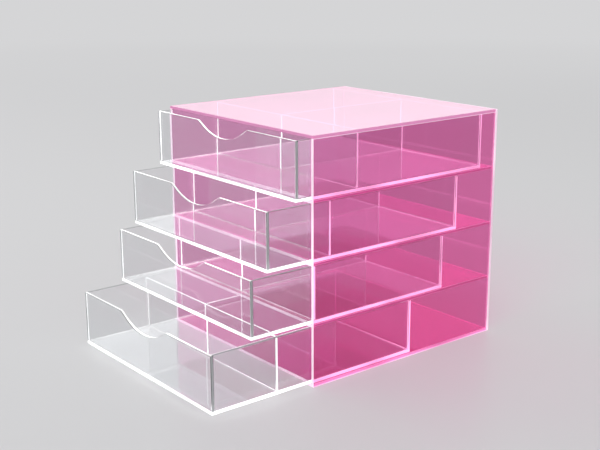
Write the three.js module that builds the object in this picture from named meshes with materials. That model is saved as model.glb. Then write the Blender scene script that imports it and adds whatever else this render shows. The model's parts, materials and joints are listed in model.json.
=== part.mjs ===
// Acrylic organizer: an open-fronted case of clear pink sheet that holds four drawers of clear sheet.
// Millimetres, +Z up. The origin is the middle of the case's underside, and the drawers open towards -Y.

import * as THREE from 'three';

// Case
const caseWidth = 246;
const caseDepth = 255;
const caseHeight = 250;
const caseSheet = 3;

// Drawers, with the gaps that let them run
const drawerSheet = 3;
const dividerSheet = 3;
const dividerSetback = 75;
const sideGap = 0.9;
const runningGap = 0.3;
const headGap = 0.55;
const rearGap = 0.5;

// How far each drawer stands open, from the top one down
const topPull = 17.7;
const upperPull = 52.2;
const lowerPull = 71.5;
const bottomPull = 117.1;

// Finger notch in the top edge of a drawer front
const notchWidth = 87;
const notchDepth = 14.2;
const shoulderRadius = 4;
const flankShare = 0.83;

// Chamfer that flame polishing leaves along every cut edge
const edgeChamfer = 0.2;

// Number of straight steps in each arc of an outline, an even number
const arcSteps = 14;

// Places worked out from the sizes
const drawerPulls = [topPull, upperPull, lowerPull, bottomPull];
const caseLeft = -caseWidth / 2;
const caseFront = -caseDepth / 2;
const caseRear = caseDepth / 2;
const caseInnerWidth = caseWidth - 2 * caseSheet;
const caseInnerDepth = caseDepth - caseSheet;
const sideHeight = caseHeight - caseSheet;
const drawerCount = drawerPulls.length;
const tierPitch = sideHeight / drawerCount;
const drawerWidth = caseInnerWidth - 2 * sideGap;
const drawerDepth = caseInnerDepth - rearGap;
const drawerHeight = tierPitch - caseSheet - runningGap - headGap;
const drawerLeft = -drawerWidth / 2;
const drawerInnerWidth = drawerWidth - 2 * drawerSheet;
const wallHeight = drawerHeight - drawerSheet;
const wallLength = drawerDepth - 2 * drawerSheet;
const dividerRear = dividerSetback + dividerSheet;

const pinkAcrylic = {
  color: '#e2479c',
  roughness: 0.04,
  metalness: 0,
  transparent: true,
  opacity: 0.42,
};
const clearAcrylic = {
  color: '#f2f5f6',
  roughness: 0.04,
  metalness: 0,
  transparent: true,
  opacity: 0.22,
};

// The ways a sheet stands. Lying flat it grows along +X, +Y and +Z from its place.
// Across the case it grows along +X and +Z, and its place is its rear face.
// Lengthwise it grows along +Y and +Z, and its thickness runs along +X.
const lying = new THREE.Euler(0, 0, 0);
const across = new THREE.Euler(Math.PI / 2, 0, 0);
const lengthwise = new THREE.Euler(Math.PI / 2, Math.PI / 2, 0);

function rectangle(length, height) {
  const outline = new THREE.Shape();
  outline.moveTo(0, 0);
  outline.lineTo(length, 0);
  outline.lineTo(length, height);
  outline.lineTo(0, height);
  outline.closePath();
  return outline;
}

// A rectangle with the finger notch in the middle of its top edge.
// Each side of the notch is a rounded shoulder, a straight flank and half of one wide round bottom, all tangent.
// The flank's slope follows from the notch's width and depth, so a deeper notch is steeper.
function notchedRectangle(length, height) {
  const middle = length / 2;
  const halfWidth = notchWidth / 2;
  const slope = flankShare * 2 * Math.atan2(notchDepth, halfWidth);
  const radii = (halfWidth * Math.sin(slope) - notchDepth * Math.cos(slope)) / (1 - Math.cos(slope));
  const bottomRadius = radii - shoulderRadius;
  const shoulderY = height - shoulderRadius;
  const bottomY = height - notchDepth + bottomRadius;
  const up = Math.PI / 2;

  const outline = new THREE.Shape();
  outline.moveTo(0, 0);
  outline.lineTo(length, 0);
  outline.lineTo(length, height);
  outline.absarc(middle + halfWidth, shoulderY, shoulderRadius, up, up + slope, false);
  outline.absarc(middle, bottomY, bottomRadius, -up + slope, -up - slope, true);
  outline.absarc(middle - halfWidth, shoulderY, shoulderRadius, up - slope, up, false);
  outline.lineTo(0, height);
  outline.closePath();
  return outline;
}

// One piece of sheet: its outline extruded to its thickness, with every edge chamfered.
function panel(name, outline, thickness, finish, stance, x, y, z) {
  const geometry = new THREE.ExtrudeGeometry(outline, {
    depth: thickness - 2 * edgeChamfer,
    bevelThickness: edgeChamfer,
    bevelSize: edgeChamfer,
    bevelOffset: -edgeChamfer,
    bevelSegments: 1,
    curveSegments: arcSteps / 2,
  });
  geometry.translate(0, 0, edgeChamfer);
  const mesh = new THREE.Mesh(geometry, new THREE.MeshStandardMaterial(finish));
  mesh.name = name;
  mesh.rotation.copy(stance);
  mesh.position.set(x, y, z);
  return mesh;
}

// The case: the top lies on the sides, the back covers the rear ends of both, and the base and
// shelves stand between the sides.
function caseShell() {
  const side = rectangle(caseInnerDepth, sideHeight);
  const back = rectangle(caseWidth, caseHeight);
  const top = rectangle(caseWidth, caseInnerDepth);
  const floor = rectangle(caseInnerWidth, caseInnerDepth);
  const rightSideX = -caseLeft - caseSheet;
  const innerX = caseLeft + caseSheet;

  const shell = new THREE.Group();
  shell.add(panel('left_side_panel', side, caseSheet, pinkAcrylic, lengthwise, caseLeft, caseFront, 0));
  shell.add(panel('right_side_panel', side, caseSheet, pinkAcrylic, lengthwise, rightSideX, caseFront, 0));
  shell.add(panel('back_panel', back, caseSheet, pinkAcrylic, across, caseLeft, caseRear, 0));
  shell.add(panel('top_panel', top, caseSheet, pinkAcrylic, lying, caseLeft, caseFront, sideHeight));
  shell.add(panel('base_panel', floor, caseSheet, pinkAcrylic, lying, innerX, caseFront, 0));
  for (let tier = 1; tier < drawerCount; tier += 1) {
    const level = tier * tierPitch;
    shell.add(panel(`shelf_${tier}`, floor, caseSheet, pinkAcrylic, lying, innerX, caseFront, level));
  }
  return shell;
}

// A drawer in its own frame: its front face at y = 0, its underside at z = 0.
// The four walls stand on the bottom, and the front and back cover the ends of the side walls.
function drawer(label) {
  const bottom = rectangle(drawerWidth, drawerDepth);
  const front = notchedRectangle(drawerWidth, wallHeight);
  const back = rectangle(drawerWidth, wallHeight);
  const wall = rectangle(wallLength, wallHeight);
  const rightWallX = -drawerLeft - drawerSheet;

  const box = new THREE.Group();
  const add = (part, outline, thickness, stance, x, y, z) => {
    box.add(panel(`${label}_${part}`, outline, thickness, clearAcrylic, stance, x, y, z));
  };
  add('bottom', bottom, drawerSheet, lying, drawerLeft, 0, 0);
  add('front', front, drawerSheet, across, drawerLeft, drawerSheet, drawerSheet);
  add('back', back, drawerSheet, across, drawerLeft, drawerDepth, drawerSheet);
  add('left_wall', wall, drawerSheet, lengthwise, drawerLeft, drawerSheet, drawerSheet);
  add('right_wall', wall, drawerSheet, lengthwise, rightWallX, drawerSheet, drawerSheet);

  // The cross divider parts off a front tray, and the centre divider halves the space behind it.
  const cross = rectangle(drawerInnerWidth, wallHeight);
  const centre = rectangle(drawerDepth - drawerSheet - dividerRear, wallHeight);
  add('cross_divider', cross, dividerSheet, across, drawerLeft + drawerSheet, dividerRear, drawerSheet);
  add('centre_divider', centre, dividerSheet, lengthwise, -dividerSheet / 2, dividerRear, drawerSheet);
  return box;
}

const organizer = new THREE.Group();
organizer.add(caseShell());
drawerPulls.forEach((pull, index) => {
  const box = drawer(`drawer_${index + 1}`);
  const tier = drawerCount - 1 - index;
  box.position.set(0, caseFront - pull, tier * tierPitch + caseSheet + runningGap);
  organizer.add(box);
});

export default organizer;
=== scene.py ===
"""Polished sheets, stage and camera for an acrylic drawer organizer, built on its CAD frame."""

import json
import math

import bmesh
import bpy
from bpy.props import FloatProperty, FloatVectorProperty, IntProperty, PointerProperty
from bpy.types import Operator, Panel, PropertyGroup
from mathutils import Matrix, Quaternion, Vector

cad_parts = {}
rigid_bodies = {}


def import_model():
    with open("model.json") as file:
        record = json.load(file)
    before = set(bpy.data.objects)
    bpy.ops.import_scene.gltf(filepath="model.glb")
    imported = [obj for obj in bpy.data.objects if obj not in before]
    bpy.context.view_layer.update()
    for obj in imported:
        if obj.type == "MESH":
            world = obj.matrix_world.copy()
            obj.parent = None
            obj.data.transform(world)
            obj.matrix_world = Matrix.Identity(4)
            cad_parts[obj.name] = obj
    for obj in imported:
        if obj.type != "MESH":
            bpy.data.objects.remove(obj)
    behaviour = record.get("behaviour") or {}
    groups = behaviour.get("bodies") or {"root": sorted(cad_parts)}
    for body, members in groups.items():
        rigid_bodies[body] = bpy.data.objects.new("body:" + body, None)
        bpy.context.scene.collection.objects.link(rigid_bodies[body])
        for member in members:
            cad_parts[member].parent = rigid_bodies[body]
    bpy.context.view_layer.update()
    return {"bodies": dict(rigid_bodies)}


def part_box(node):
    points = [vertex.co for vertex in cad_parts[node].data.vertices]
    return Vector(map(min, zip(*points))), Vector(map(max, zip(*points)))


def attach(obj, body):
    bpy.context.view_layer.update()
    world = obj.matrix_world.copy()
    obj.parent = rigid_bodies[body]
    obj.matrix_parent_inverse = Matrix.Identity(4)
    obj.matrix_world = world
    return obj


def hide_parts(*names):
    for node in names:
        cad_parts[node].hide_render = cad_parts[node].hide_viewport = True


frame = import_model()

bl_info = {
    "name": "Acrylic Drawer Organizer",
    "version": (1, 0, 0),
    "blender": (4, 5, 0),
    "location": "3D View > Sidebar > Organizer",
    "description": "Acrylic sheets of a case and its four drawers, with a stage and a camera",
    "category": "Add Mesh",
}

DRAWERS = [body for body in frame["bodies"] if body.startswith("drawer_")]
CASE = "case"
UP = Vector((0, 0, 1))
DEPTH = Vector((0, 1, 0))
WIDTH = Vector((1, 0, 0))

# Tones of sheet. Light meets a shelf at a slant and crosses it twice, so a shelf is given a deeper
# tint: painted shade for that longer path.
PINK, SHELF, CLEAR = "pink", "shelf", "clear"

# Places of the three materials on a sheet.
# A lit edge is pale, with a painted glow. A dim edge is a darker copy without the glow: painted
# shade on an edge turned from the light, and a dark joint on a cemented end.
GLOSSY, LIT, DIM = 0, 1, 2

# A face is turned one way where the cosine between its normal and that way is larger
FACING = 0.9

# Two faces that meet at more than this have a cut edge between them, which is rounded
CUT_ANGLE = math.radians(20)

# Two faces that meet at more than this are shaded apart
SHADING_ANGLE = math.radians(8)

# Least and greatest roughness, as shares of the mean: smudges on a face, saw marks on an edge
SMUDGE_SHARES = (0.5, 1.5)
MARK_SHARES = (0.6, 1.4)

# Part of the noise's range over which the painted glow of an edge goes from its least to its most
PATCH_SPAN = (0.35, 0.65)

# Power of a sheet's tint in the light that one of its faces passes to a lamp's ray
FILM_POWER = 0.25

# Number of bounces after which a ray meets only a sheet's film
DEEP_RAY = 9

# Faces of sheet that a lamp's ray may pass on its way. A straight ray can meet 30 of them.
SHEET_FACES = 64

# Floor: half of its side, its distances from the organizer between which it fades into the sky,
# and the share of its own even light in what is seen of it
FLOOR_REACH = 30
FLOOR_FADE = (0.8, 4.0)
FLOOR_LIGHT = 0.35

# Softboxes: where each one hangs, what it faces, its width and height, and its power in watts
SOFTBOXES = {
    "back_softbox": ((-2.34, 1.88, 1.0), (0, 0, 0.25), (3.2, 1.1), 8.4),
    "front_softbox": ((1.3, -2.5, 2.0), (0, 0, 0.1), (1.8, 1.4), 55),
    "left_softbox": ((-2.4, -0.9, 2.2), (0, 0, 0.1), (1.6, 1.6), 22),
}

# Heights between which the back softbox grows brighter, and its strength at each of them
GRADE_HEIGHTS = (0.6, 0.9)
GRADE_SHARES = (0.75, 1.25)

# Millimetres, as the focal length is
SENSOR_WIDTH = 36

# Sockets of a Mix node that mixes colours
COLOUR_A, COLOUR_B, COLOUR_RESULT = 6, 7, 2


# Settings


class OrganizerSheets(PropertyGroup):
    """Sizes of the polished sheets"""

    edge_round: FloatProperty(
        name="Edge round",
        description="Radius that flame polishing leaves along a cut edge",
        default=0.0004,
        min=0.0,
        subtype="DISTANCE",
        unit="LENGTH",
    )
    edge_segments: IntProperty(
        name="Edge segments",
        description="Steps across the round of a cut edge",
        default=3,
        min=1,
    )
    joint_gap: FloatProperty(
        name="Joint gap",
        description="Half the hairline between two cemented faces",
        default=0.00002,
        min=0.0,
        subtype="DISTANCE",
        unit="LENGTH",
    )


class OrganizerNotch(PropertyGroup):
    """Sizes of the finger notch in a drawer front"""

    width: FloatProperty(
        name="Width",
        description="Distance between the two shoulders of the notch",
        default=0.087,
        subtype="DISTANCE",
        unit="LENGTH",
    )
    depth: FloatProperty(
        name="Depth",
        description="Drop from the top edge to the bottom of the notch",
        default=0.0142,
        subtype="DISTANCE",
        unit="LENGTH",
    )
    shoulder_radius: FloatProperty(
        name="Shoulder radius",
        description="Radius of the rounded shoulders",
        default=0.004,
        subtype="DISTANCE",
        unit="LENGTH",
    )
    flank_share: FloatProperty(
        name="Flank share",
        description="Steepness of the flanks, as a share of the steepest that the notch allows",
        default=0.83,
        min=0.1,
        max=1.0,
        subtype="FACTOR",
    )
    shoulder_steps: IntProperty(
        name="Shoulder steps",
        description="Steps along one rounded shoulder",
        default=8,
        min=2,
    )
    bottom_steps: IntProperty(
        name="Bottom steps",
        description="Steps along the round bottom",
        default=28,
        min=4,
    )


class OrganizerFinish(PropertyGroup):
    """Colours and gloss of the acrylic"""

    pink_tint: FloatVectorProperty(
        name="Pink tint",
        description="Light that passes one pink sheet",
        default=(0.945, 0.41, 0.69),
        size=3,
        min=0.0,
        max=1.0,
        subtype="COLOR",
    )
    # Deeper than the pink tint: painted shade for the slanted, double path of light through a shelf
    shelf_tint: FloatVectorProperty(
        name="Shelf tint",
        description="Light that passes a pink shelf or the base",
        default=(0.90, 0.23, 0.55),
        size=3,
        min=0.0,
        max=1.0,
        subtype="COLOR",
    )
    # The pink edge colour is pale, a painted highlight. The dim pink edge colour is darker: painted
    # shade, and a dark joint where the edge is cemented.
    pink_edge: FloatVectorProperty(
        name="Pink edge",
        description="Colour of a polished pink edge",
        default=(0.98, 0.82, 0.93),
        size=3,
        min=0.0,
        max=1.0,
        subtype="COLOR",
    )
    pink_dim: FloatVectorProperty(
        name="Dim pink edge",
        description="Colour of a pink edge that gathers no light",
        default=(0.93, 0.40, 0.69),
        size=3,
        min=0.0,
        max=1.0,
        subtype="COLOR",
    )
    clear_tint: FloatVectorProperty(
        name="Clear tint",
        description="Light that passes one clear sheet",
        default=(0.93, 0.94, 0.945),
        size=3,
        min=0.0,
        max=1.0,
        subtype="COLOR",
    )
    # The clear edge colour is pale, a painted highlight. The dim clear edge colour is grey: painted
    # shade, and a dark joint where the edge is cemented.
    clear_edge: FloatVectorProperty(
        name="Clear edge",
        description="Colour of a polished clear edge",
        default=(0.96, 0.97, 0.97),
        size=3,
        min=0.0,
        max=1.0,
        subtype="COLOR",
    )
    clear_dim: FloatVectorProperty(
        name="Dim clear edge",
        description="Colour of a clear edge that gathers no light",
        default=(0.42, 0.44, 0.45),
        size=3,
        min=0.0,
        max=1.0,
        subtype="COLOR",
    )
    sheet_ior: FloatProperty(
        name="Index of refraction",
        description="Index of refraction of acrylic",
        default=1.49,
        min=1.0,
    )
    face_roughness: FloatProperty(
        name="Face roughness",
        description="Mean roughness of the glossy faces",
        default=0.02,
        min=0.0,
        max=1.0,
        subtype="FACTOR",
    )
    edge_roughness: FloatProperty(
        name="Edge roughness",
        description="Mean roughness of the polished edges",
        default=0.22,
        min=0.0,
        max=1.0,
        subtype="FACTOR",
    )
    edge_glow: FloatProperty(
        name="Edge glow",
        description="Share of an edge that scatters light from inside the sheet",
        default=0.4,
        min=0.0,
        max=1.0,
        subtype="FACTOR",
    )
    # How far the painted glow of a lit edge varies along it, in patches
    edge_patches: FloatProperty(
        name="Edge patches",
        description="How far the light of an edge varies along it",
        default=0.5,
        min=0.0,
        max=1.0,
        subtype="FACTOR",
    )
    # Strengths of the painted glow on lit edges: emission that stands in for light gathered inside
    # the sheet
    pink_edge_light: FloatProperty(
        name="Pink edge light",
        description="Light that a pink sheet gathers and gives off at its edges",
        default=0.5,
        min=0.0,
    )
    clear_edge_light: FloatProperty(
        name="Clear edge light",
        description="Light that a clear sheet gathers and gives off at its edges",
        default=1.4,
        min=0.0,
    )


class OrganizerStage(PropertyGroup):
    """Floor, light and camera"""

    floor_colour: FloatVectorProperty(
        name="Floor colour",
        description="Colour of the plain floor",
        default=(0.60, 0.60, 0.61),
        size=3,
        min=0.0,
        max=1.0,
        subtype="COLOR",
    )
    sky_colour: FloatVectorProperty(
        name="Sky colour",
        description="Colour of the background, which the far floor fades into",
        default=(0.665, 0.665, 0.675),
        size=3,
        min=0.0,
        max=1.0,
        subtype="COLOR",
    )
    sky_strength: FloatProperty(
        name="Sky strength",
        description="Even light from all round",
        default=0.6,
        min=0.0,
    )
    camera_azimuth: FloatProperty(
        name="Camera azimuth",
        description="Angle of the camera round the organizer, from its front towards its right side",
        default=math.radians(51.21),
        subtype="ANGLE",
        unit="ROTATION",
    )
    camera_elevation: FloatProperty(
        name="Camera elevation",
        description="Angle of the camera above the horizon",
        default=math.radians(14.83),
        subtype="ANGLE",
        unit="ROTATION",
    )
    camera_roll: FloatProperty(
        name="Camera roll",
        description="Turn of the camera about its line of sight",
        default=math.radians(-0.22),
        subtype="ANGLE",
        unit="ROTATION",
    )
    camera_place: FloatVectorProperty(
        name="Camera place",
        description="Where the camera stands",
        default=(0.8730, -0.7462, 0.4226),
        size=3,
        subtype="TRANSLATION",
        unit="LENGTH",
    )
    camera_lens: FloatProperty(
        name="Focal length",
        description="Focal length on a sensor 36 mm wide",
        default=64.12,
        unit="CAMERA",
    )


# Materials


def node(tree, kind, x, y, **settings):
    """A new shader node. A setting whose name is an input's goes into that socket."""
    made = tree.nodes.new(kind)
    made.location = (x, y)
    for key, value in settings.items():
        name = key.replace("_", " ")
        if name in made.inputs:
            made.inputs[name].default_value = value
        else:
            setattr(made, key, value)
    return made


def graded(tree, x, y, value, into, span=(0, 1), **settings):
    """A value that runs over a span, brought into another range."""
    made = node(
        tree, "ShaderNodeMapRange", x, y,
        From_Min=span[0], From_Max=span[1], To_Min=into[0], To_Max=into[1], **settings,
    )
    tree.links.new(value, made.inputs["Value"])
    return made.outputs["Result"]


def mixed(tree, x, y, share, first, second):
    """Two shaders mixed, with a share for the second one."""
    made = node(tree, "ShaderNodeMixShader", x, y)
    tree.links.new(share, made.inputs[0])
    tree.links.new(first, made.inputs[1])
    tree.links.new(second, made.inputs[2])
    return made.outputs[0]


def studio_rays(tree):
    """One for a ray that shows the studio, straight or by way of the acrylic, and else zero."""
    path = node(tree, "ShaderNodeLightPath", -600, 300)
    direct = node(tree, "ShaderNodeMath", -400, 300, operation="MAXIMUM")
    tree.links.new(path.outputs["Is Camera Ray"], direct.inputs[0])
    tree.links.new(path.outputs["Is Glossy Ray"], direct.inputs[1])
    shown = node(tree, "ShaderNodeMath", -200, 300, operation="MAXIMUM")
    tree.links.new(direct.outputs[0], shown.inputs[0])
    tree.links.new(path.outputs["Is Transmission Ray"], shown.inputs[1])
    return shown.outputs[0]


def empty_material(name):
    """A new material with no nodes."""
    made = bpy.data.materials.new(name)
    made.use_nodes = True
    made.node_tree.nodes.clear()
    return made


def let_lamps_through(tree, surface, tint):
    """Ends a material. Its surface is seen, and lamps' rays and deep rays meet a film of the tint.
    The film is paler than the tint, so that studio light reaches in between the stacked sheets."""
    colour = (*[channel**FILM_POWER for channel in tint], 1)
    film = node(tree, "ShaderNodeBsdfTransparent", 0, -400, Color=colour).outputs[0]
    path = node(tree, "ShaderNodeLightPath", 300, 500)
    deep = node(tree, "ShaderNodeMath", 500, 400, operation="GREATER_THAN")
    tree.links.new(path.outputs["Ray Depth"], deep.inputs[0])
    deep.inputs[1].default_value = DEEP_RAY
    inner = mixed(tree, 700, 200, deep.outputs[0], surface, film)
    outer = mixed(tree, 900, 200, path.outputs["Is Shadow Ray"], inner, film)
    end = node(tree, "ShaderNodeOutputMaterial", 1100, 200)
    tree.links.new(outer, end.inputs["Surface"])


def face_material(name, tint, finish):
    """The broad glossy face of a clear sheet: faintly wavy, with soft smudges."""
    tree = empty_material(name).node_tree
    place = node(tree, "ShaderNodeTexCoord", -900, 0)
    smudge = node(tree, "ShaderNodeTexNoise", -700, 100, Scale=22.0, Detail=4.0, Roughness=0.6)
    wave = node(tree, "ShaderNodeTexNoise", -700, -200, Scale=9.0, Detail=1.0)
    tree.links.new(place.outputs["Object"], smudge.inputs["Vector"])
    tree.links.new(place.outputs["Object"], wave.inputs["Vector"])
    smudged = [finish.face_roughness * share for share in SMUDGE_SHARES]
    rough = graded(tree, -450, 100, smudge.outputs["Fac"], smudged)
    bump = node(tree, "ShaderNodeBump", -450, -200, Strength=0.25, Distance=0.0004)
    tree.links.new(wave.outputs["Fac"], bump.inputs["Height"])
    glass = node(
        tree, "ShaderNodeBsdfPrincipled", 0, 100,
        Base_Color=(*tint, 1), IOR=finish.sheet_ior, Transmission_Weight=1.0,
    )
    tree.links.new(rough, glass.inputs["Roughness"])
    tree.links.new(bump.outputs["Normal"], glass.inputs["Normal"])
    let_lamps_through(tree, glass.outputs[0], tint)


def edge_material(name, colour, tint, painted_glow, finish):
    """A polished edge with faint saw marks. A lit edge also has a painted glow, an emission that
    stands in for light from inside the sheet.
    """
    made = empty_material(name)
    made.cycles.emission_sampling = "NONE"
    tree = made.node_tree
    place = node(tree, "ShaderNodeTexCoord", -900, 0)
    marks = node(tree, "ShaderNodeTexNoise", -700, 0, Scale=900.0, Detail=2.0)
    tree.links.new(place.outputs["Object"], marks.inputs["Vector"])
    marked = [finish.edge_roughness * share for share in MARK_SHARES]
    rough = graded(tree, -450, 100, marks.outputs["Fac"], marked)
    polished = node(
        tree, "ShaderNodeBsdfPrincipled", -200, 100,
        Base_Color=(*colour, 1), IOR=finish.sheet_ior, Emission_Color=(*colour, 1),
    )
    tree.links.new(rough, polished.inputs["Roughness"])
    # Painted glow: emission in patches along the edge
    if painted_glow:
        patches = node(tree, "ShaderNodeTexNoise", -700, 400, Scale=14.0, Detail=1.0)
        tree.links.new(place.outputs["Object"], patches.inputs["Vector"])
        least = painted_glow * (1 - finish.edge_patches)
        most = painted_glow * (1 + finish.edge_patches)
        given = graded(tree, -450, 400, patches.outputs["Fac"], (least, most), PATCH_SPAN)
        tree.links.new(given, polished.inputs["Emission Strength"])
    glow = node(tree, "ShaderNodeBsdfTranslucent", -200, -300, Color=(*colour, 1))
    lit = node(tree, "ShaderNodeMixShader", 100, 100)
    lit.inputs[0].default_value = finish.edge_glow
    tree.links.new(polished.outputs[0], lit.inputs[1])
    tree.links.new(glow.outputs[0], lit.inputs[2])
    let_lamps_through(tree, lit.outputs[0], tint)


def acrylic(tone):
    """The materials of a sheet in their places: glossy face, lit edge with a painted highlight and
    glow, and dim edge with painted shade.
    """
    names = [f"{tone}_face", f"{tone}_edge", f"{tone}_dim_edge"]
    if names[GLOSSY] not in bpy.data.materials:
        finish = bpy.context.scene.organizer_finish
        colour = CLEAR if tone == CLEAR else PINK
        tint = getattr(finish, f"{tone}_tint")
        lit_colour = getattr(finish, f"{colour}_edge")
        dim_colour = getattr(finish, f"{colour}_dim")
        painted_glow = getattr(finish, f"{colour}_edge_light")
        face_material(names[GLOSSY], tint, finish)
        edge_material(names[LIT], lit_colour, tint, painted_glow, finish)
        edge_material(names[DIM], dim_colour, tint, 0, finish)
    return [bpy.data.materials[name] for name in names]


# Sheets


def corners(node_name):
    """The box of a CAD node, less the hairline at its joints."""
    gap = Vector((bpy.context.scene.organizer_sheets.joint_gap,) * 3)
    low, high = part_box(node_name)
    return low + gap, high - gap


def plain_sheet(node_name):
    """A rectangular sheet in the place of a CAD node."""
    low, high = corners(node_name)
    made = bmesh.new()
    place = Matrix.Translation((low + high) / 2) @ Matrix.Diagonal((*(high - low), 1))
    bmesh.ops.create_cube(made, size=1, matrix=place)
    return made


def notched_sheet(node_name):
    """A drawer front in the place of a CAD node, with the finger notch in its top edge.
    Each side of it is a round shoulder, a straight flank and half of one wide round bottom."""
    notch = bpy.context.scene.organizer_notch
    low, high = corners(node_name)
    half = notch.width / 2
    radius = notch.shoulder_radius
    middle = (low.x + high.x) / 2
    slope = notch.flank_share * 2 * math.atan2(notch.depth, half)
    radii = (half * math.sin(slope) - notch.depth * math.cos(slope)) / (1 - math.cos(slope))
    bottom_radius = radii - radius
    bottom_centre = Vector((middle, low.y, high.z - notch.depth + bottom_radius))
    right_centre = Vector((middle + half, low.y, high.z - radius))
    left_centre = Vector((middle - half, low.y, high.z - radius))

    made = bmesh.new()

    def arc(start, centre, angle, steps):
        """Sweeps a vertex round a centre, and returns the first and last one of the arc."""
        first = made.verts.new(start)
        swept = bmesh.ops.spin(
            made, geom=[first], cent=centre, axis=DEPTH, angle=angle, steps=steps,
        )
        last = next(v for v in swept["geom_last"] if isinstance(v, bmesh.types.BMVert))
        return first, last

    right = arc(right_centre + radius * UP, right_centre, -slope, notch.shoulder_steps)
    bottom_start = bottom_centre - Quaternion(DEPTH, -slope) @ (bottom_radius * UP)
    bottom = arc(bottom_start, bottom_centre, 2 * slope, notch.bottom_steps)
    left_start = left_centre + Quaternion(DEPTH, slope) @ (radius * UP)
    left = arc(left_start, left_centre, -slope, notch.shoulder_steps)
    ends = [
        made.verts.new((low.x, low.y, high.z)),
        made.verts.new(low),
        made.verts.new((high.x, low.y, low.z)),
        made.verts.new((high.x, low.y, high.z)),
    ]
    joins = [(right[1], bottom[0]), (bottom[1], left[0]), (left[1], ends[0])]
    joins += [(ends[0], ends[1]), (ends[1], ends[2]), (ends[2], ends[3]), (ends[3], right[0])]
    for pair in joins:
        made.edges.new(pair)
    bmesh.ops.contextual_create(made, geom=made.edges[:])
    pulled = bmesh.ops.extrude_face_region(made, geom=made.faces[:])
    moved = [v for v in pulled["geom"] if isinstance(v, bmesh.types.BMVert)]
    bmesh.ops.translate(made, verts=moved, vec=(0, high.y - low.y, 0))
    bmesh.ops.recalc_face_normals(made, faces=made.faces)
    return made


def polish(sheet, rounds, dim_ways):
    """Rounds every cut edge, and gives each face of a sheet the place of its material.
    Broad faces are glossy, an end that faces one of the dim ways is dim, with painted shade, and
    other ends are lit, with a painted glow."""
    sheets = bpy.context.scene.organizer_sheets
    broad = sorted(sheet.faces, key=lambda f: f.calc_area())[-2:]
    for face in sheet.faces:
        dim = any(face.normal.dot(way) > FACING for way in dim_ways)
        face.material_index = GLOSSY if face in broad else DIM if dim else LIT
    cut = [e for e in sheet.edges if e.calc_face_angle(0) > CUT_ANGLE]
    rounded = bmesh.ops.bevel(
        sheet, geom=cut, offset=sheets.edge_round, segments=sheets.edge_segments,
        profile=0.5, affect="EDGES", material=-1,
    )
    for face in rounded["faces"]:
        face.material_index = rounds
    for face in sheet.faces:
        face.smooth = True


def make_object(name, sheet, materials):
    """Makes an object of a bmesh."""
    mesh = bpy.data.meshes.new(name)
    sheet.to_mesh(mesh)
    sheet.free()
    for material in materials:
        mesh.materials.append(material)
    made = bpy.data.objects.new(name, mesh)
    bpy.context.scene.collection.objects.link(made)
    return made


def finish_piece(node_name, sheet, tone, body):
    """Makes a piece of a sheet, and lets it ride on its body in the place of its CAD node."""
    piece = make_object(f"{node_name}_sheet", sheet, acrylic(tone))
    piece.data.set_sharp_from_angle(angle=SHADING_ANGLE)
    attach(piece, body)
    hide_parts(node_name)


def polished_sheets(names, tone, body, rounds, dim_ways=(), make=plain_sheet):
    """Polished sheets in the places of some CAD nodes. Their rounds wear the material given."""
    for name in names:
        sheet = make(name)
        sheet.normal_update()
        polish(sheet, rounds, dim_ways)
        finish_piece(name, sheet, tone, body)


# Operators


class ORGANIZER_OT_side_panels(Operator):
    """Makes the two sides of the case"""

    bl_idname = "organizer.side_panels"
    bl_label = "Side Panels"

    def execute(self, context):
        names = ["left_side_panel", "right_side_panel"]
        polished_sheets(names, PINK, CASE, LIT, dim_ways=(UP, DEPTH))
        return {"FINISHED"}


class ORGANIZER_OT_back_panel(Operator):
    """Makes the back of the case"""

    bl_idname = "organizer.back_panel"
    bl_label = "Back Panel"

    def execute(self, context):
        polished_sheets(["back_panel"], PINK, CASE, LIT)
        return {"FINISHED"}


class ORGANIZER_OT_top_panel(Operator):
    """Makes the top of the case"""

    bl_idname = "organizer.top_panel"
    bl_label = "Top Panel"

    def execute(self, context):
        # Every end and round of the top gets the dim edge: painted shade on its rim, and a dark
        # joint where an end is cemented
        ways = (WIDTH, -WIDTH, DEPTH, -DEPTH)
        polished_sheets(["top_panel"], PINK, CASE, DIM, dim_ways=ways)
        return {"FINISHED"}


class ORGANIZER_OT_shelves(Operator):
    """Makes the base and the shelves that the drawers run on"""

    bl_idname = "organizer.shelves"
    bl_label = "Base and Shelves"

    def execute(self, context):
        polished_sheets(["base_panel"], SHELF, CASE, LIT, dim_ways=(DEPTH,))
        names = ["shelf_1", "shelf_2", "shelf_3"]
        polished_sheets(names, SHELF, CASE, LIT, dim_ways=(WIDTH, -WIDTH, DEPTH))
        return {"FINISHED"}


class ORGANIZER_OT_drawer_bottoms(Operator):
    """Makes the bottoms of the drawers"""

    bl_idname = "organizer.drawer_bottoms"
    bl_label = "Drawer Bottoms"

    def execute(self, context):
        for drawer in DRAWERS:
            polished_sheets([f"{drawer}_bottom"], CLEAR, drawer, LIT)
        return {"FINISHED"}


class ORGANIZER_OT_drawer_fronts(Operator):
    """Makes the drawer fronts with their finger notches"""

    bl_idname = "organizer.drawer_fronts"
    bl_label = "Drawer Fronts"

    def execute(self, context):
        ways = (WIDTH, -WIDTH)
        for drawer in DRAWERS:
            names = [f"{drawer}_front"]
            polished_sheets(names, CLEAR, drawer, GLOSSY, dim_ways=ways, make=notched_sheet)
        return {"FINISHED"}


class ORGANIZER_OT_drawer_walls(Operator):
    """Makes the side walls and the back of each drawer"""

    bl_idname = "organizer.drawer_walls"
    bl_label = "Drawer Walls"

    def execute(self, context):
        for drawer in DRAWERS:
            walls = [f"{drawer}_left_wall", f"{drawer}_right_wall"]
            # The top edges of the walls get the dim edge: painted shade
            polished_sheets(walls, CLEAR, drawer, GLOSSY, dim_ways=(UP,))
            polished_sheets([f"{drawer}_back"], CLEAR, drawer, GLOSSY)
        return {"FINISHED"}


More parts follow.
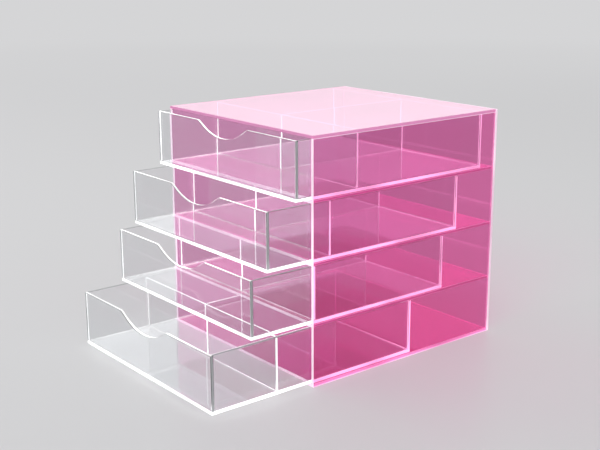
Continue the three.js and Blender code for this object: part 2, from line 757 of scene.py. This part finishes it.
class ORGANIZER_OT_dividers(Operator):
    """Makes the dividers inside each drawer"""

    bl_idname = "organizer.dividers"
    bl_label = "Dividers"

    def execute(self, context):
        for drawer in DRAWERS:
            names = [f"{drawer}_cross_divider", f"{drawer}_centre_divider"]
            polished_sheets(names, CLEAR, drawer, GLOSSY)
        return {"FINISHED"}


class ORGANIZER_OT_stage(Operator):
    """Sets up the floor, the light and the camera"""

    bl_idname = "organizer.stage"
    bl_label = "Stage"

    def execute(self, context):
        scene = context.scene
        stage = scene.organizer_stage
        make_floor(stage)
        make_sky(stage)
        for name, (place, target, size, power) in SOFTBOXES.items():
            make_lamp(name, place, target, size, power)
        grade_lamp("back_softbox")
        make_camera(stage)
        scene.view_settings.view_transform = "Standard"
        scene.cycles.transparent_max_bounces = SHEET_FACES
        return {"FINISHED"}


# Stage


def floor_material(stage):
    """A plain matt floor that fades into the sky."""
    made = empty_material("plain_floor")
    tree = made.node_tree
    share = node(tree, "ShaderNodeMath", 0, 300, operation="MULTIPLY")
    tree.links.new(studio_rays(tree), share.inputs[0])
    share.inputs[1].default_value = FLOOR_LIGHT
    matt = node(
        tree, "ShaderNodeBsdfPrincipled", 0, 0,
        Base_Color=(*stage.floor_colour, 1), Roughness=0.35, Specular_IOR_Level=0.25,
    )
    light = node(tree, "ShaderNodeEmission", 0, -300, Color=(*stage.floor_colour, 1))
    near = mixed(tree, 200, 0, share.outputs[0], matt.outputs[0], light.outputs[0])
    place = node(tree, "ShaderNodeTexCoord", -600, -400)
    far = node(tree, "ShaderNodeVectorMath", -400, -400, operation="LENGTH")
    tree.links.new(place.outputs["Object"], far.inputs[0])
    fade = graded(
        tree, -200, -400, far.outputs["Value"], (0, 1), FLOOR_FADE,
        interpolation_type="SMOOTHSTEP",
    )
    sky = node(tree, "ShaderNodeEmission", 200, -300, Color=(*stage.sky_colour, 1))
    faded = mixed(tree, 400, 0, fade, near, sky.outputs[0])
    end = node(tree, "ShaderNodeOutputMaterial", 600, 0)
    tree.links.new(faded, end.inputs["Surface"])
    return made


def make_floor(stage):
    """Makes the floor that the organizer stands on."""
    sheet = bmesh.new()
    bmesh.ops.create_grid(sheet, x_segments=1, y_segments=1, size=FLOOR_REACH)
    floor = make_object("floor", sheet, [floor_material(stage)])


def make_sky(stage):
    """Lights the organizer evenly from all round, and shows a plain background."""
    sky = bpy.data.worlds.new("studio")
    bpy.context.scene.world = sky
    sky.use_nodes = True
    tree = sky.node_tree
    tree.nodes.clear()
    colour = node(tree, "ShaderNodeMix", 0, 300, data_type="RGBA")
    tree.links.new(studio_rays(tree), colour.inputs[0])
    colour.inputs[COLOUR_A].default_value = (stage.sky_strength,) * 3 + (1,)
    colour.inputs[COLOUR_B].default_value = (*stage.sky_colour, 1)
    light = node(tree, "ShaderNodeBackground", 200, 0)
    tree.links.new(colour.outputs[COLOUR_RESULT], light.inputs["Color"])
    end = node(tree, "ShaderNodeOutputWorld", 400, 0)
    tree.links.new(light.outputs[0], end.inputs["Surface"])


def make_lamp(name, place, target, size, power):
    """Hangs a softbox that faces a target."""
    light = bpy.data.lights.new(name, "AREA")
    light.shape = "RECTANGLE"
    light.size, light.size_y = size
    light.energy = power
    lamp = bpy.data.objects.new(name, light)
    lamp.location = place
    lamp.rotation_mode = "QUATERNION"
    lamp.rotation_quaternion = (Vector(place) - Vector(target)).to_track_quat("Z", "Y")
    lamp.visible_camera = False
    bpy.context.scene.collection.objects.link(lamp)


def grade_lamp(name):
    """Makes a softbox brighter towards its top."""
    light = bpy.data.lights[name]
    light.use_nodes = True
    tree = light.node_tree
    place = node(tree, "ShaderNodeNewGeometry", -600, 0)
    split = node(tree, "ShaderNodeSeparateXYZ", -400, 0)
    tree.links.new(place.outputs["Position"], split.inputs[0])
    grade = graded(
        tree, -200, 0, split.outputs["Z"], GRADE_SHARES, GRADE_HEIGHTS,
        interpolation_type="SMOOTHSTEP",
    )
    tree.links.new(grade, tree.nodes["Emission"].inputs["Strength"])


def make_camera(stage):
    """Sets up the camera at the angle of the photograph."""
    azimuth, elevation = stage.camera_azimuth, stage.camera_elevation
    back = Vector((
        math.sin(azimuth) * math.cos(elevation),
        -math.cos(azimuth) * math.cos(elevation),
        math.sin(elevation),
    ))
    camera = bpy.data.objects.new("camera", bpy.data.cameras.new("camera"))
    camera.location = stage.camera_place
    camera.rotation_mode = "QUATERNION"
    camera.rotation_quaternion = back.to_track_quat("Z", "Y") @ Quaternion(UP, stage.camera_roll)
    camera.data.sensor_width = SENSOR_WIDTH
    camera.data.lens = stage.camera_lens
    bpy.context.scene.collection.objects.link(camera)
    bpy.context.scene.camera = camera


# Panel


class VIEW3D_PT_organizer(Panel):
    """Lists the settings and the pieces"""

    bl_label = "Acrylic Organizer"
    bl_space_type = "VIEW_3D"
    bl_region_type = "UI"
    bl_category = "Organizer"

    def draw(self, context):
        layout = self.layout
        for group in SETTINGS:
            box = layout.box()
            settings = getattr(context.scene, group)
            for name in settings.__annotations__:
                box.prop(settings, name)
        for operator in OPERATORS:
            layout.operator(operator.bl_idname)


SETTINGS = {
    "organizer_sheets": OrganizerSheets,
    "organizer_notch": OrganizerNotch,
    "organizer_finish": OrganizerFinish,
    "organizer_stage": OrganizerStage,
}
OPERATORS = (
    ORGANIZER_OT_side_panels,
    ORGANIZER_OT_back_panel,
    ORGANIZER_OT_top_panel,
    ORGANIZER_OT_shelves,
    ORGANIZER_OT_drawer_bottoms,
    ORGANIZER_OT_drawer_fronts,
    ORGANIZER_OT_drawer_walls,
    ORGANIZER_OT_dividers,
    ORGANIZER_OT_stage,
)


def register():
    for name, group in SETTINGS.items():
        bpy.utils.register_class(group)
        setattr(bpy.types.Scene, name, PointerProperty(type=group))
    for operator in OPERATORS:
        bpy.utils.register_class(operator)
    bpy.utils.register_class(VIEW3D_PT_organizer)


def unregister():
    bpy.utils.unregister_class(VIEW3D_PT_organizer)
    for operator in reversed(OPERATORS):
        bpy.utils.unregister_class(operator)
    for name, group in reversed(SETTINGS.items()):
        delattr(bpy.types.Scene, name)
        bpy.utils.unregister_class(group)


def main():
    register()
    bpy.ops.organizer.side_panels()
    bpy.ops.organizer.back_panel()
    bpy.ops.organizer.top_panel()
    bpy.ops.organizer.shelves()
    bpy.ops.organizer.drawer_bottoms()
    bpy.ops.organizer.drawer_fronts()
    bpy.ops.organizer.drawer_walls()
    bpy.ops.organizer.dividers()
    bpy.ops.organizer.stage()


if __name__ == "__main__":
    main()
